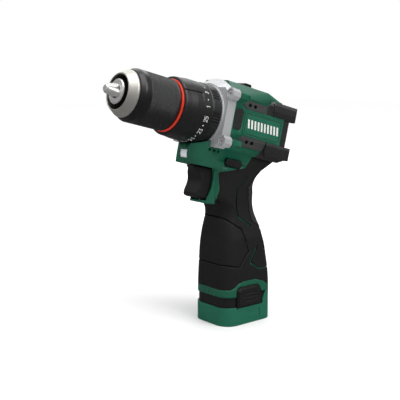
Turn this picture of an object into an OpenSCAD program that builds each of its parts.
// Pistol-grip cordless drill standing on its slide-in battery.
// Millimetres. Origin: centre of the battery's bottom face. +Z up, -Y towards the chuck,
// +X the drill's left side. The barrel axis is pitched up by tilt.
// Barrel coordinates: s runs forward along the barrel axis from the point above the origin,
// u runs up across it, x is shared with the row frame.

/* [Barrel] */
// Height of the barrel axis above the origin
axis_height = 166.2; // [160:0.1:175]
// Upward pitch of the barrel axis, degrees
tilt = 14; // [0:1:20]
// Half width of the motor housing
housing_half = 26; // [24:0.5:30]
// Height of the roof above the barrel axis
roof_height = 31; // [28:0.5:34]
// Rear face of the motor housing, behind the s origin
housing_rear = 44; // [42:0.5:50]
// Wall of the moulded housing
wall = 2.2; // [1.8:0.1:3]

/* [Chuck] */
// Radius of the chuck sleeve
sleeve_r = 20.6; // [18:0.1:24]
// Radius of the hub seen inside the nose ring
hub_r = 9.6; // [8:0.1:12]
// Station of the closed jaws' tip
jaw_tip = 131; // [125:1:140]
// Angle between each jaw and the chuck axis
jaw_slope = 15; // [12:1:18]
// Radius of a jaw
jaw_r = 3.2; // [2.5:0.1:4]
// Length of a jaw
jaw_length = 32; // [28:1:36]

/* [Torque collar] */
// Rear radius of the collar
collar_r = 25; // [23:0.5:28]
// Rear face of the collar
collar_rear = 37.1; // [36:0.1:40]
// Front face of the collar
collar_front = 72.5; // [68:0.5:76]

/* [Gear train] */
// Gear module
gear_module = 0.65; // [0.5:0.05:0.8]
// Teeth on the sun gear
sun_teeth = 12; // [9:3:18]
// Teeth on each planet gear
planet_teeth = 18; // [12:3:24]
// Teeth inside the ring gear
ring_teeth = 48; // [36:3:60]

/* [Grip] */
// Corner radius of the grip
grip_corner = 12; // [9:0.5:14]
// Thickness of the rubber cover
cover = 1.0; // [0.8:0.1:2]

/* [Battery] */
// Width of the battery base
base_width = 44.5; // [42:0.5:50]
// Depth of the battery base
base_depth = 54.8; // [50:0.2:60]
// Height of the base's rim at the front
base_rim = 15.6; // [12:0.2:20]
// Radius of a cell
cell_r = 9; // [8.5:0.1:9.2]

/* [Hidden] */
planet_offset = gear_module * (sun_teeth + planet_teeth) / 2;
lug_x = 28.6;
lug_u = 18.8;
lug_r = 4.4;
tower_y = -2.7;
// height, centre line, half width, half depth of the grip
grip_rows = [
    [20, 0, 22.2, 27.2], [36, 0, 22.2, 27], [54, -0.9, 21.8, 25.4], [67, -1.8, 21.3, 23.9],
    [73, -2.4, 21.1, 22.5], [79, -2.9, 19.8, 21.8], [87, -4, 18.2, 19.9], [93, -4.8, 17.4, 18.5],
    [100, -6.4, 17, 18.9], [108, -10.5, 17, 23.2], [118, -10.3, 17.2, 23.8],
    [127, -5.5, 17.6, 27.3], [134, 1.5, 18.4, 34], [142, 2.5, 18.4, 35]
];

// ---------- frames ----------

module barrel() {
    translate([0, 0, axis_height]) rotate([-tilt, 0, 0]) children();
}

// profile points are [radius, s]
module turned(profile) {
    barrel() rotate([90, 0, 0]) rotate_extrude($fn = 96) polygon(profile);
}

// child outline is drawn in (x, u)
module along(s0, s1) {
    barrel() translate([0, -s0, 0]) rotate([90, 0, 0]) linear_extrude(height = s1 - s0) children();
}

// outline points are [s, u], spanning x0 to x1
module across(outline, x0, x1) {
    barrel() translate([x1, 0, 0]) rotate([90, 0, -90])
        linear_extrude(height = x1 - x0) polygon(outline);
}

// outline points are [y, z] in the row frame
module side_slab(outline, x0, x1) {
    translate([x0, 0, 0]) rotate([90, 0, 90]) linear_extrude(height = x1 - x0) polygon(outline);
}

module half(side) {
    translate([side > 0 ? 0 : -80, -160, -10]) cube([80, 260, 260]);
}

module rounded(w, d, r, h) {
    linear_extrude(height = h) union() {
        square([w - 2 * r, d], center = true);
        square([w, d - 2 * r], center = true);
        for (x = [-1, 1], y = [-1, 1])
            translate([x * (w / 2 - r), y * (d / 2 - r)]) circle(r = r, $fn = 48);
    }
}

// ---------- grip ----------

function reach(row, a, inset) =
    (row[2] - grip_corner) * abs(cos(a)) + (row[3] - grip_corner) * abs(sin(a))
    + grip_corner - inset;

module grip_prism(a, inset) {
    n = len(grip_rows);
    right = [for (row = grip_rows) [row[1] * sin(a) + reach(row, a, inset), row[0]]];
    left = [for (i = [n - 1 : -1 : 0])
        [grip_rows[i][1] * sin(a) - reach(grip_rows[i], a, inset), grip_rows[i][0]]];
    rotate([0, 0, a]) rotate([90, 0, 0])
        linear_extrude(height = 140, center = true) polygon(concat(right, left));
}

module grip_body(inset) {
    intersection_for (i = [0 : 5]) grip_prism(30 * i, inset);
}

// the area wrapped in rubber, drawn in (y, z)
module rubber_zone() {
    side_slab([
        [-60, 101], [-37, 103.8], [-31, 106.6], [-28.6, 114.5], [-29.6, 128.8], [-28, 130],
        [-4.4, 131.2], [8, 144.4], [60, 150], [60, 30.4], [19, 30.4], [15, 33.6], [5, 37], [-8.3, 37],
        [-14, 35.6], [-21, 31.2], [-60, 29.8]
    ], -40, 40);
}

// ---------- housing ----------

function shell_outline(g) = [
    [13 - 0.4 * g, roof_height - g], [housing_half - g, 19.5 - 0.4 * g],
    [housing_half - g, -13], [21 - 0.8 * g, -24.5 + g],
    [-21 + 0.8 * g, -24.5 + g], [-housing_half + g, -13],
    [-housing_half + g, 19.5 - 0.4 * g], [-13 + 0.4 * g, roof_height - g]
];

module motor_shell(g) {
    intersection() {
        along(-housing_rear + g, 27) polygon(shell_outline(g));
        across([
            [27, 32], [-20 + 0.4 * g, 32], [-20 + 0.4 * g, roof_height - g],
            [-29 + g, 25.5 - g], [-60, 23 - g], [-60, -21], [-housing_rear + g, -21 + g],
            [-36, -25 + g], [27, -25 + g]
        ], -40, 40);
    }
}

// the part below the collar and above the trigger
module nose(g) {
    intersection() {
        along(-20, 48 - g) polygon([
            [18.4 - g, -18], [18.4 - g, -33], [14.5 - 0.7 * g, -40.4 + g],
            [-14.5 + 0.7 * g, -40.4 + g], [-18.4 + g, -33], [-18.4 + g, -18]
        ]);
        barrel() translate([0, 0, -50]) linear_extrude(height = 40) polygon([
            [20, 20], [20 - g, -26], [15.5 - 0.8 * g, -39], [10.5 - 0.8 * g, -45.5 + g],
            [8, -48 + g], [-8, -48 + g], [-10.5 + 0.8 * g, -45.5 + g],
            [-15.5 + 0.8 * g, -39], [-20 + g, -26], [-20, 20]
        ]);
        across([
            [49, -10], [49 - g, -30], [45.5 - g, -41], [-1.2, -41], [-4.3 + g, -34.8], [-13 + g, -19],
            [-13 + g, -12]
        ], -30, 30);
    }
}

// lip under the trigger, with a cheek rising on each side of it
module finger_rest() {
    intersection() {
        union() {
            across([
                [11, -66.9], [23, -67], [26.4, -67.2], [26.9, -68], [25.6, -69.2],
                [21, -69.4], [17, -68.6], [11, -67.9]
            ], -12, 12);
            for (x = [-12, 9.9]) across([
                [22.4, -41], [21.4, -49.7], [21.4, -57.9], [22.4, -63], [25, -66.6],
                [26.4, -68], [21, -69.2], [17, -68.2], [12, -66], [8, -60], [10, -41]
            ], x, x + 2.1);
        }
        translate([0, 0, 90]) linear_extrude(height = 50) polygon([
            [12, 0], [12, -34], [10.4, -38.4], [7, -41.6], [3, -43], [-3, -43], [-7, -41.6],
            [-10.4, -38.4], [-12, -34], [-12, 0]
        ]);
    }
}

module slot_for_trigger() {
    across([
        [9, -67], [60, -67], [60, -40], [9, -40]
    ], -9.8, 9.8);
}

module pill(s0, s1, u0, u1, x0, x1) {
    r = (u1 - u0) / 2;
    barrel() translate([x0, 0, 0]) rotate([0, 90, 0]) linear_extrude(height = x1 - x0) union() {
        translate([-u1, -s1 + r]) square([2 * r, s1 - s0 - 2 * r]);
        for (s = [s0 + r, s1 - r]) translate([-(u0 + u1) / 2, -s]) circle(r = r, $fn = 32);
    }
}

// outline prism kept to a layer of the motor shell between two depths
module skin(outline, out, in) {
    intersection() {
        across(outline, -40, 40);
        difference() {
            motor_shell(-out);
            motor_shell(in);
        }
    }
}

module clear_of_shell(outline, in) {
    difference() {
        across(outline, -40, 40);
        motor_shell(in);
    }
}

upper_vent = [[17, 14.2], [12.5, 17.8], [-9, 17.8], [-9, 11.2], [14, 11.2]];
lower_vent = [[17, -14.4], [12.5, -10.6], [-14, -10.6], [-14, -19], [12, -19]];
upper_guard = [[-9.6, 18.6], [-9.6, 11.2], [-60, 11.2], [-60, 23.5], [-17, 23.5], [-14, 20.4],
    [-11, 19.8]];
lower_guard = [[-14.6, -11], [-14.6, -18], [-17.5, -21.6], [-60, -21.6], [-60, -11]];
heel = [[-13.4, -19], [-16, -18], [-60, -18], [-60, -30], [-7.4, -30]];
front_pad = [[24.3, 8], [24.3, -5.5], [22.6, -7], [17.2, -7], [15.5, -5.5], [15.5, 8],
    [17.2, 9.6], [22.6, 9.6]];
plate_area = [[13.3, 9.4], [13.3, -7], [10, -10], [-27, -10], [-29.8, -7], [-29.8, 9.4]];

module skin_pockets() {
    clear_of_shell(upper_vent, 1.2);
    clear_of_shell(lower_vent, 1.2);
    clear_of_shell(upper_guard, 1.2);
    clear_of_shell(lower_guard, 1.2);
    clear_of_shell(heel, 1.2);
    clear_of_shell(front_pad, 0.9);
    clear_of_shell(plate_area, 0.9);
}

module side_vents() {
    for (s = [4, 10]) pill_hole(s, 14.5);
    for (s = [0, 6]) pill_hole(s, -14.6);
    for (s = [35.4, 31.6, 27.8])
        barrel() translate([-30, -s - 1, -27.8]) cube([60, 2, 2]);
}

module pill_hole(s, u) {
    pill(s - 1.8, s + 1.8, u - 1.5, u + 1.5, -40, 40);
}

// the lower edge of the housing, arched over the latches
module below_housing() {
    side_slab([
        [-60, -20], [-60, 24.6], [-16, 24.6], [-16, 29.5], [-12.8, 32.7], [7, 32.7],
        [10.8, 29.8], [12.6, 25.2], [17, 25.2], [24.6, 31], [60, 31], [60, -20]
    ], -40, 40);
}

module housing_form() {
    motor_shell(0);
    difference() {
        nose(0);
        turned([[0, 26.9], [25.8, 26.9], [25.8, 80], [0, 80]]);
        along(26.9, 35.2) translate([-40, -24.6]) square([80, 60]);
    }
    intersection() {
        grip_body(0);
        difference() {
            side_slab([[-60, 20], [60, 20], [60, 141], [-60, 141]], -30, 30);
            rubber_zone();
        }
        side_slab([[-60, 20], [10, 20], [26, 20], [60, 20], [60, 40], [60, 134], [34, 134],
            [34, 141], [-60, 141]], -30, 30);
    }
    grip_body(cover);
    finger_rest();
}

module housing_cavity() {
    motor_shell(wall);
    difference() {
        nose(wall);
        along(26, 60) translate([-40, -28]) square([80, 60]);
    }
    intersection() {
        grip_body(cover + 1.1);
        translate([-40, -80, 10]) cube([80, 160, 131]);
    }
    translate([0, tower_y, 10]) rounded(38.5, 36.5, 10, 63);
}

module motor_ribs() {
    for (s = [-26, -8]) difference() {
        intersection() {
            along(s, s + 2) translate([-30, -24]) square([60, 50]);
            motor_shell(0.6);
        }
        turned([[0, s - 1], [20, s - 1], [20, s + 3], [0, s + 3]]);
    }
}

// bosses behind the gearbox lugs, upper or lower
module lug_bosses(up, side_outline) {
    intersection() {
        difference() {
            along(17.5, 28) for (x = [-1, 1]) translate([x * lug_x, up * lug_u]) {
                lug_outline(4.2);
                translate([x > 0 ? -6 : 0, -3.6]) square([6, 7.2]);
            }
            motor_shell(0.8);
        }
        across(side_outline, -33, 33);
    }
}

module housing_half(side) {
    intersection() {
        half(side);
        difference() {
            union() {
                difference() {
                    housing_form();
                    housing_cavity();
                }
                motor_ribs();
                lug_bosses(1, [[28, 23.6], [28, 15.4], [17.5, 16.4], [17.5, 21.4]]);
                lug_bosses(-1, [[28, -23.6], [28, -15.2], [17.5, -16], [17.5, -21.4]]);
            }
            skin_pockets();
            side_vents();
            slot_for_trigger();
            below_housing();
            pill(0.4, 18.4, -36.6, -30.4, -40, 40);
            for (x = [-40, 17.2]) pill(-0.6, 22, -37.4, -29.6, x, x + 22.8);
            across([[3, 20], [3, 40], [-13, 40], [-13, 20]], -6.4, 6.4);
            along(18.3, 30) at_lugs() circle(r = 1.5, $fn = 24);
            difference() {
                along(27, 36) square([90, 90], center = true);
                along(20, 40) translate([-40, -80]) square([80, 55.4]);
            }
            across([[60, -30], [60, -36.6], [40, -36.6], [40, -30]], -4.6, 4.6);
            along(-60, -31) square([90, 90], center = true);
            turned([[0, 14], [22.2, 14], [22.2, 28], [0, 28]]);
            housing_screw_holes(side);
        }
    }
}

// the case screws enter from the right side and bite into bosses on the left
module housing_screw_holes(side) {
    if (side < 0) at_screws() {
        cylinder(r = 2.9, h = 12, $fn = 24);
        translate([0, 0, -8]) cylinder(r = 1.4, h = 20, $fn = 24);
    }
}

module at_screws() {
    for (p = [[29, -33, 14.6], [-9, -29, 14.6]])
        barrel() translate([-p[2], -p[0], p[1]]) rotate([0, -90, 0]) children();
    for (p = [[-17, 88, 10.6], [19.5, 46, 15]])
        translate([-p[2], p[0], p[1]]) rotate([0, -90, 0]) children();
}

module left_housing() {
    color([0.09, 0.33, 0.25]) housing_half(1);
}

module right_housing() {
    color([0.09, 0.33, 0.25]) housing_half(-1);
}

module grip_cover_half(side) {
    intersection() {
        half(side);
        difference() {
            intersection() {
                grip_body(0);
                rubber_zone();
            }
            grip_body(cover);
            motor_shell(0);
            nose(0);
            finger_rest();
            across([[8, -41], [30, -41], [30, -68], [11, -67.5]], -12, 12);
            slot_for_trigger();
            grip_grooves();
            below_housing();
            if (side < 0) at_screws() cylinder(r = 2.9, h = 12, $fn = 24);
        }
    }
}

// slits through the rubber that show the green shell
module grip_grooves() {
    for (side = [-1, 1]) {
        side_slab([
            [0, 124], [-11.4, 115.2], [-12.9, 104.9], [-12.6, 96.5], [-10.7, 90.4], [2.4, 81.4],
            [2.4, 83], [-9.7, 91.4], [-11.5, 96.7], [-11.8, 104.9], [-10.4, 114.7], [0, 122.8]
        ], side > 0 ? 8 : -40, side > 0 ? 40 : -8);
        side_slab([
            [8.4, 66.8], [7.6, 62.5], [1.3, 53.3], [1, 51.6], [9.8, 45.8], [26.6, 45],
            [26.6, 43.4], [9.6, 44.2], [-0.7, 50.8], [-0.5, 53.6], [6.6, 64]
        ], side > 0 ? 8 : -40, side > 0 ? 40 : -8);
    }
}

module left_grip_cover() {
    color([0.07, 0.07, 0.07]) grip_cover_half(1);
}

module right_grip_cover() {
    color([0.07, 0.07, 0.07]) grip_cover_half(-1);
}

// plan outline of the rear cap, with cut-off corners
module rear_plan(g) {
    barrel() translate([0, 0, -40]) linear_extrude(height = 80) polygon([
        [-25.2 + g, 0], [-25.2 + g, 38.2 - 0.4 * g], [-19 + 0.4 * g, 43.2 - g],
        [19 - 0.4 * g, 43.2 - g], [25.2 - g, 38.2 - 0.4 * g], [25.2 - g, 0]
    ]);
}

module rear_middle(u0, u1) {
    across([[-31, u0], [-31, u1], [-60, u1], [-60, u0]], -40, 40);
}

module rear_shell() {
    difference() {
        union() {
            difference() {
                intersection() {
                    motor_shell(0.8);
                    along(-60, -31) square([90, 90], center = true);
                }
                motor_shell(2.6);
            }
            difference() {
                intersection() {
                    motor_shell(0.8);
                    rear_middle(-13, 13);
                }
                rear_plan(1.8);
            }
        }
        difference() {
            rear_middle(-11, 11.2);
            rear_plan(0);
        }
        clear_of_shell(upper_guard, 1.2);
        clear_of_shell(lower_guard, 1.2);
        clear_of_shell(heel, 1.2);
    }
}

module rear_cap() {
    color([0.08, 0.08, 0.08]) difference() {
        union() {
            rear_shell();
            along(-44.4, -43.2) square([33, 19], center = true);
            turned([[0, -42.5], [9.4, -42.5], [9.4, -38.6], [0, -38.6]]);
        }
        turned([[0, -41.9], [7, -41.9], [7, -30], [0, -30]]);
        for (u = [-7.5, -2.5, 2.5, 7.5]) along(-50, -40) difference() {
            translate([-14, u - 0.9]) square([28, 1.8]);
            circle(r = 10.2, $fn = 48);
        }
    }
}

// raised block with a sloped underside and cut-off rear corners
module bumper(outline, section) {
    intersection() {
        skin(outline, 2.4, 1.2);
        along(-60, 0) polygon(section);
        barrel() translate([0, 0, -40]) linear_extrude(height = 80)
            polygon([[-29, 0], [-29, 41.3], [-24, 46.4], [24, 46.4], [29, 41.3], [29, 0]]);
    }
}

module guards(side) {
    color([0.08, 0.08, 0.08]) intersection() {
        half(side);
        translate([side > 0 ? 19.2 : -50, -160, -10]) cube([30.8, 260, 260]);
        union() {
            skin(upper_guard, 0.3, 1.2);
            skin(heel, 0.3, 1.2);
            bumper([[-18, 23.5], [-16, 21.5], [-16, 11.2], [-60, 11.2], [-60, 23.5]], [
                [-26, 11.2], [-28.4, 15.2], [-28.4, 40], [28.4, 40], [28.4, 15.2], [26, 11.2]
            ]);
            difference() {
                bumper(lower_guard, [
                    [-26, -22], [-28, -19.6], [-28, -13], [-26.6, -11], [26.6, -11], [28, -13],
                    [28, -19.6], [26, -22]
                ]);
                for (x = [-60, 26.6]) across([[-29, -10], [-29.6, -10], [-30.8, -23], [-30.2, -23]],
                    x, x + 33.4);
            }
            skin(front_pad, 0.4, 0.9);
        }
    }
}

module left_guards() {
    guards(1);
}

module right_guards() {
    guards(-1);
}

module vent_trim(side) {
    color([0.12, 0.12, 0.12]) intersection() {
        half(side);
        difference() {
            union() {
                skin(upper_vent, 0.3, 1.2);
                skin(lower_vent, 0.3, 1.2);
            }
            side_vents();
        }
    }
}

module left_vent_trim() {
    vent_trim(1);
}

module right_vent_trim() {
    vent_trim(-1);
}

module name_plate(side) {
    color([0.08, 0.27, 0.21]) intersection() {
        half(side);
        difference() {
            skin(plate_area, 0.3, 0.9);
            difference() {
                across([[11.9, 8.2], [11.9, -6.4], [9.4, -8.8], [-26.4, -8.8], [-28.4, -6.8],
                    [-28.4, 8.2]], -40, 40);
                across([[11.4, 7.7], [11.4, -6.2], [9.2, -8.3], [-26.2, -8.3], [-27.9, -6.6],
                    [-27.9, 7.7]], -41, 41);
                motor_shell(0);
            }
        }
    }
}

module left_name_plate() {
    name_plate(1);
}

module right_name_plate() {
    name_plate(-1);
}

// ---------- gearbox ----------

module at_lugs() {
    for (x = [-1, 1], u = [-1, 1]) translate([x * lug_x, u * lug_u]) children();
}

// eight-sided, with its flats at r from the screw
module lug_outline(r) {
    rotate(22.5) circle(r = r / cos(22.5), $fn = 8);
}

// domed plate between the housing and the collar
module flange() {
    intersection() {
        turned([[0, 27], [31.8, 27], [31.8, 28.4], [26.4, 35.4], [0, 35.4]]);
        along(26, 36) translate([-28, -24.4]) square([56, 60]);
    }
    intersection() {
        turned([[0, 27], [34, 27], [34, 33.4], [32, 35.4], [0, 35.4]]);
        along(26, 36) polygon([
            [27, -22], [28, -18], [28, 18], [25, 23.4], [-25, 23.4], [-28, 18], [-28, -18],
            [-27, -22], [-24, -24.4], [24, -24.4]
        ]);
    }
    along(28, 35.8) at_lugs() lug_outline(lug_r);
}

module gearbox_case() {
    color([0.72, 0.73, 0.74]) difference() {
        union() {
            flange();
            turned([[0, 35], [25.4, 35], [25.2, 36.7], [18, 36.7], [18, 44], [14.5, 44],
                [14.5, 69.5], [0, 69.5]]);
            turned([[0, 2], [22, 2], [22, 27], [0, 27]]);
        }
        turned([[0, 1], [18.9, 1], [18.9, 25], [8, 27], [8, 57], [11.5, 57], [11.5, 71], [0, 71]]);
        along(33, 60) at_lugs() circle(r = 3.1, $fn = 32);
        along(20, 40) at_lugs() circle(r = 1.6, $fn = 24);
    }
}

module gearbox_screws() {
    color([0.55, 0.55, 0.56]) difference() {
        union() {
            along(33, 35.2) at_lugs() circle(r = 2.8, $fn = 32);
            along(18.5, 33) at_lugs() circle(r = 1.5, $fn = 24);
        }
        along(33.8, 36) at_lugs() for (a = [0, 90]) rotate(a) square([3.6, 0.8], center = true);
    }
}

module housing_screws() {
    color([0.3, 0.3, 0.31]) at_screws() difference() {
        union() {
            cylinder(r = 2.6, h = 1.6, $fn = 24);
            translate([0, 0, -2]) cylinder(r = 1.4, h = 2, $fn = 24);
        }
        for (a = [0, 90]) translate([0, 0, 1.4]) rotate(a) cube([3, 0.7, 1.4], center = true);
    }
}

function inv(a) = tan(a) * 180 / PI - a;

function half_tooth(z, r, slack) =
    let (pitch_r = gear_module * z / 2, a = acos(min(1, pitch_r * cos(20) / r)))
    90 / z - slack / pitch_r * 180 / PI + inv(20) - inv(a);

module gear_outline(z, tip, root, slack) {
    pr = gear_module * z / 2;
    rr = [pr - root, pr - 0.25 * root, pr + 0.35 * tip, pr + tip];
    polygon([for (t = [0 : z - 1]) each concat(
        [for (i = [0 : 3]) rr[i] * [cos(360 * t / z - half_tooth(z, rr[i], slack)),
            sin(360 * t / z - half_tooth(z, rr[i], slack))]],
        [for (i = [3 : -1 : 0]) rr[i] * [cos(360 * t / z + half_tooth(z, rr[i], slack)),
            sin(360 * t / z + half_tooth(z, rr[i], slack))]])]);
}

module ring_gear() {
    color([0.5, 0.5, 0.5]) along(5, 17) difference() {
        circle(r = 18.9, $fn = 96);
        gear_outline(ring_teeth, 1.2 * gear_module, 0.75 * gear_module, -0.05);
    }
}

module planet_gear(k) {
    color([0.6, 0.58, 0.5]) along(6.5, 15.5) rotate(120 * k + 90) translate([planet_offset, 0])
        difference() {
            gear_outline(planet_teeth, 0.8 * gear_module, 1.2 * gear_module, 0.05);
            circle(r = 2.05, $fn = 32);
        }
}

module planet_gear_a() {
    planet_gear(0);
}

module planet_gear_b() {
    planet_gear(1);
}

module planet_gear_c() {
    planet_gear(2);
}

module sun_gear() {
    color([0.6, 0.6, 0.6]) along(6, 16) difference() {
        rotate(90 + 180 / sun_teeth)
            gear_outline(sun_teeth, 0.8 * gear_module, 1.15 * gear_module, 0.05);
        circle(r = 2.4, $fn = 32);
    }
}

module planet_carrier() {
    color([0.5, 0.5, 0.52]) {
        turned([[0, 17.6], [13, 17.6], [13, 22], [0, 22]]);
        along(5.6, 17.6) for (k = [0 : 2]) rotate(120 * k + 90) translate([planet_offset, 0])
            circle(r = 2, $fn = 32);
    }
}

module ring_part(r0, r1, s0, s1) {
    turned([[r0, s0], [r1, s0], [r1, s1], [r0, s1]]);
}

module front_bearing() {
    color([0.6, 0.6, 0.6]) ring_part(6.05, 11.5, 58, 66);
}

module rear_bearing() {
    color([0.6, 0.6, 0.6]) ring_part(2.55, 7, -41.9, -38.6);
}

module motor_plate() {
    color([0.45, 0.45, 0.46]) ring_part(7, 21, -1, 2);
}

// ---------- motor ----------

module stator_core() {
    color([0.35, 0.36, 0.38]) along(-27, -5) difference() {
        circle(r = 20, $fn = 96);
        circle(r = 11, $fn = 64);
        for (a = [0 : 60 : 300]) rotate(a) {
            translate([12.4, -3.4]) square([4.8, 6.8]);
            translate([9, -0.8]) square([4, 1.6]);
        }
    }
}

module stator_coils() {
    color([0.7, 0.38, 0.16]) along(-30, -2) for (a = [0 : 60 : 300]) rotate(a)
        translate([12.6, -3.2]) square([4.4, 6.4]);
}

module rotor() {
    color([0.4, 0.4, 0.42])
        turned([[0, -41.5], [2.5, -41.5], [2.5, -27], [10.4, -27], [10.4, -5], [2.4, -5],
            [2.4, 16.4], [0, 16.4]]);
}

module cooling_fan() {
    color([0.1, 0.1, 0.1]) difference() {
        union() {
            turned([[2.5, -37.6], [15.5, -37.6], [15.5, -36.6], [6, -36.6], [5, -32.5], [2.5, -32.5]]);
            along(-36.6, -32.8) for (a = [0 : 30 : 330]) rotate(a)
                translate([5, -0.6]) square([10, 1.2]);
        }
        turned([[0, -40], [2.5, -40], [2.5, -30], [0, -30]]);
    }
}

// ---------- clutch and collar ----------

module clutch_spring() {
    color([0.6, 0.6, 0.6]) for (s = [47 : 2.4 : 62]) barrel() rotate([90, 0, 0])
        translate([0, 0, s]) rotate_extrude($fn = 64) translate([16.6, 0]) circle(r = 0.8, $fn = 16);
}

module torque_collar() {
    color([0.06, 0.06, 0.06]) difference() {
        turned([
            [18.06, collar_rear], [collar_r - 0.8, collar_rear], [collar_r, collar_rear + 0.9],
            [collar_r, 43.5], [24.5, 44.2], [24.3, 47], [24.3, 61], [23.6, 66], [23.3, 71.4],
            [22.4, collar_front], [21, collar_front], [21, 70.5], [14.56, 70.5], [14.56, 66],
            [21.4, 66], [21.4, 44.4], [18.06, 44.4]
        ]);
        along(36, 43) for (a = [0 : 20 : 340]) rotate(a) for (b = [-3, 0, 3]) rotate(b)
            translate([collar_r - 0.5, -0.35]) square([2, 0.7]);
    }
}

module accent_ring() {
    color([0.82, 0.2, 0.13])
        turned([[14.8, 70.5], [21, 70.5], [21, 73.6], [20.6, 74.2], [14.8, 74.2]]);
}

// ---------- chuck ----------

module spindle() {
    color([0.55, 0.55, 0.56]) turned([[0, 22], [6, 22], [6, 78], [0, 78]]);
}

// child sits at the k-th jaw's own axis, pointing forward from its tip station
module at_jaw(k) {
    barrel() rotate([0, 120 * k, 0]) translate([0, -jaw_tip, 0]) rotate([jaw_slope, 0, 0])
        rotate([90, 0, 0]) children();
}

module jaw_bores(r) {
    for (k = [0 : 2]) at_jaw(k) translate([0, 0, -62]) cylinder(r = r, h = 60, $fn = 32);
}

module chuck_body() {
    color([0.75, 0.74, 0.72]) difference() {
        turned([
            [0, 78], [15, 78], [15, 96], [10.4, 96], [10.4, 105.4], [15.5, 105.4], [15.5, 110.5],
            [hub_r, 113.5], [hub_r, 120.4], [hub_r - 0.8, 121.2], [0, 121.2]
        ]);
        jaw_bores(jaw_r + 0.1);
        turned([[0, 100], [5.2, 100], [5.2, 130], [0, 130]]);
    }
}

module jaw(k) {
    color([0.7, 0.69, 0.67]) intersection() {
        at_jaw(k) translate([0, 0, -jaw_length]) cylinder(r = jaw_r, h = jaw_length + 4, $fn = 32);
        barrel() rotate([0, 120 * k, 0]) translate([0, 0, 0.12]) rotate([90, 0, 0])
            linear_extrude(height = 140)
                polygon([[0, 0], [17.32, 10], [17.32, 40], [-17.32, 40], [-17.32, 10]]);
        turned([[0, 90], [30, 90], [30, 121], [5.9, 121], [4.4, jaw_tip - 2.6],
            [2.4, jaw_tip], [0, jaw_tip]]);
    }
}

module jaw_a() {
    jaw(0);
}

module jaw_b() {
    jaw(1);
}

module jaw_c() {
    jaw(2);
}

// conical inner face runs parallel to the jaws
module chuck_nut() {
    slope = tan(jaw_slope);
    gap = (jaw_r + 0.25) / cos(jaw_slope);
    color([0.7, 0.6, 0.35]) turned([
        [(jaw_tip - 97) * slope + gap, 97], [17.6, 97], [17.6, 104.4],
        [(jaw_tip - 104.4) * slope + gap, 104.4]
    ]);
}

module chuck_sleeve() {
    color([0.05, 0.05, 0.05]) difference() {
        turned([
            [12, 74.6], [sleeve_r - 0.8, 74.6], [sleeve_r, 75.4], [sleeve_r, 96.4],
            [sleeve_r - 0.3, 96.8], [sleeve_r - 0.3, 97.6], [sleeve_r, 98], [sleeve_r, 107.6],
            [18.6, 111.6], [17.6, 111.6], [17.6, 77.4], [12, 77.4]
        ]);
        along(76, 96) for (a = [0 : 10 : 350]) rotate(a)
            translate([sleeve_r - 0.25, -0.4]) square([1, 0.8]);
    }
}

module nose_ring() {
    color([0.66, 0.65, 0.62]) turned([
        [15.9, 110.9], [17.6, 110.9], [17.6, 111.6], [18.2, 112.2], [18.2, 113.6],
        [14.4, 119.4], [13.6, 119.8], [11.6, 119.8], [11.3, 119.4], [11.3, 117.6], [15.9, 112.6]
    ]);
}

// ---------- controls ----------

module switch_body() {
    color([0.15, 0.15, 0.16]) difference() {
        across([[9, -62], [9, -42], [-10, -42], [-10, -62]], -9, 9);
        across([[10, -55.3], [10, -48.7], [1, -48.7], [1, -55.3]], -3.3, 3.3);
    }
}

module control_board() {
    color([0.1, 0.3, 0.16]) {
        translate([-11, -10, 82]) cube([22, 1.6, 18]);
        translate([-8, -8.4, 84]) cube([16, 3.6, 12]);
    }
}

module terminal_block() {
    color([0.16, 0.16, 0.17]) difference() {
        translate([-13, tower_y - 6, 74.5]) cube([26, 12, 6]);
        for (x = [-9, 0, 9]) translate([x - 0.8, tower_y - 5, 73]) cube([1.6, 10, 6]);
    }
}

module light_lens() {
    color([0.9, 0.92, 0.95]) intersection() {
        across([[60, -30], [60, -36.6], [44.6, -36.6], [44.6, -30]], -4.6, 4.6);
        nose(1.0);
    }
}

module light_board() {
    color([0.8, 0.8, 0.78]) across([[44.6, -29.5], [44.6, -37], [43.2, -37], [43.2, -29.5]], -6, 6);
}

module direction_button() {
    color([0.09, 0.09, 0.09]) {
        pill(0.6, 18.2, -36.4, -30.6, -19.4, 19.4);
    }
}

module speed_selector() {
    color([0.09, 0.09, 0.09]) {
        across([[2.6, 28.4], [2.6, 33.4], [1.4, 34.6], [-4.8, 34.6], [-6, 33.4], [-6, 28.4]],
            -6, 6);
        across([[9.4, 26.8], [9.4, 28.4], [-13.1, 28.4], [-13.1, 26.8]], -8, 8);
    }
}

module trigger() {
    color([0.08, 0.08, 0.08]) {
        intersection() {
            across([
                [39.6, -41], [36, -44.4], [33.6, -47.2], [32.1, -50], [31.5, -53], [31.9, -56],
                [33.2, -59.4], [34, -62], [33.8, -64], [32.4, -65.6], [30, -66.3],
                [19, -66.3], [17, -64], [17, -41]
            ], -9.4, 9.4);
            along(10, 50) polygon([
                [9.4, -30], [9.4, -64.4], [7.4, -66.4], [-7.4, -66.4], [-9.4, -64.4], [-9.4, -30]
            ]);
            barrel() translate([0, 0, -70]) linear_extrude(height = 40) polygon([
                [9.4, -10], [9.4, -29.6], [8, -33.5], [4.6, -36.6], [4, -45], [-4, -45],
                [-4.6, -36.6], [-8, -33.5], [-9.4, -29.6], [-9.4, -10]
            ]);
        }
        across([[17, -55], [17, -49], [8.4, -49], [8.4, -55]], -3, 3);
    }
}

// ---------- battery ----------

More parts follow.
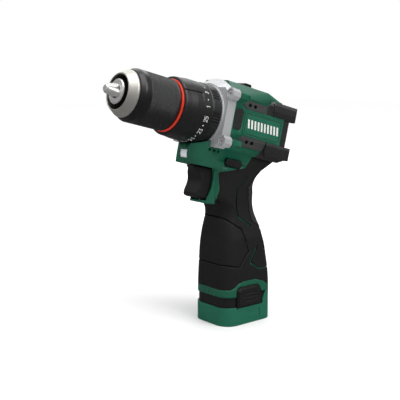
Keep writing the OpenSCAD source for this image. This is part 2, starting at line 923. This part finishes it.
module battery_tray() {
    color([0.09, 0.36, 0.27]) difference() {
        intersection() {
            rounded(base_width, base_depth, grip_corner, 31);
            side_slab([
                [-30, 0], [30, 0], [30, 30.6], [25, 30.4], [17.6, 24.8], [14.2, 18.8],
                [13.9, 14.5], [-15.7, 14.5], [-15.9, base_rim], [-30, base_rim]
            ], -40, 40);
        }
        translate([0, 0, 2]) rounded(base_width - 2.4, base_depth - 2.4, grip_corner - 1.2, 40);
        for (x = [-1, 1]) translate([x * 22.2, 3.4, 7.8]) cube([0.8, 14.5, 7.2], center = true);
    }
}

module battery_band() {
    color([0.07, 0.07, 0.07]) difference() {
        translate([0, 0, 2]) rounded(base_width - 2.4, base_depth - 2.4, grip_corner - 1.2, 22.3);
        translate([0, 0, 3.5]) rounded(36.6, base_depth - 8, 9, 19.3);
        translate([0, tower_y, 20]) rounded(36.4, 34, 9, 10);
        for (x = [-1, 1]) latch_pocket(x);
    }
}

module latch_pocket(x) {
    side_slab([[-15.6, 14.5], [-15.6, 40], [12.6, 40], [12.6, 14.5]],
        x > 0 ? 19.3 : -40, x > 0 ? 40 : -19.3);
}

module battery_tower() {
    color([0.1, 0.1, 0.1]) difference() {
        translate([0, tower_y, 24.3]) rounded(37.8, 35.8, 9.9, 47.7);
        translate([0, tower_y, 20]) rounded(36.4, 34.4, 9.2, 50.4);
    }
}

module battery_cells() {
    color([0.2, 0.45, 0.62]) for (p = [[-9.1, 7.9], [9.1, 7.9], [0, -7.9]])
        translate([p[0], tower_y + p[1], 5]) {
            cylinder(r = cell_r, h = 64.6, $fn = 48);
        }
}

module battery_contacts() {
    color([0.75, 0.62, 0.3]) for (x = [-9, 0, 9])
        translate([x - 0.5, tower_y - 4, 72]) cube([1, 8, 5]);
}

module latch(x) {
    color([0.07, 0.07, 0.07]) difference() {
        union() {
            side_slab([
                [-15.2, 15], [-15.2, 29.6], [-12.4, 32.3], [6.6, 32.3], [10.3, 29.4], [12.2, 17],
                [12.2, 15]
            ], x > 0 ? 20.6 : -22.9, x > 0 ? 22.9 : -20.6);
            side_slab([
                [-13.8, 16.4], [-13.8, 29], [-11.8, 30.9], [6, 30.9], [9, 28.6], [10.8, 17.4],
                [10.8, 16.4]
            ], x > 0 ? 22.9 : -24, x > 0 ? 24 : -22.9);
        }
        for (z = [20.6, 23.6, 26.6]) translate([x * 24, -1.4, z]) cube([1.6, 13.5, 1.3], center = true);
    }
}

module left_latch() {
    latch(1);
}

module right_latch() {
    latch(-1);
}

// ---------- parts ----------

left_housing();
right_housing();
left_grip_cover();
right_grip_cover();
rear_cap();
left_guards();
right_guards();
left_vent_trim();
right_vent_trim();
left_name_plate();
right_name_plate();
gearbox_case();
gearbox_screws();
housing_screws();
ring_gear();
front_bearing();
rear_bearing();
motor_plate();
stator_core();
stator_coils();
clutch_spring();
switch_body();
control_board();
terminal_block();
light_lens();
light_board();
direction_button();
speed_selector();
trigger();
spindle();
planet_carrier();
chuck_body();
chuck_sleeve();
nose_ring();
chuck_nut();
jaw_a();
jaw_b();
jaw_c();
torque_collar();
accent_ring();
rotor();
cooling_fan();
sun_gear();
planet_gear_a();
planet_gear_b();
planet_gear_c();
battery_tray();
battery_band();
battery_tower();
battery_cells();
battery_contacts();
left_latch();
right_latch();
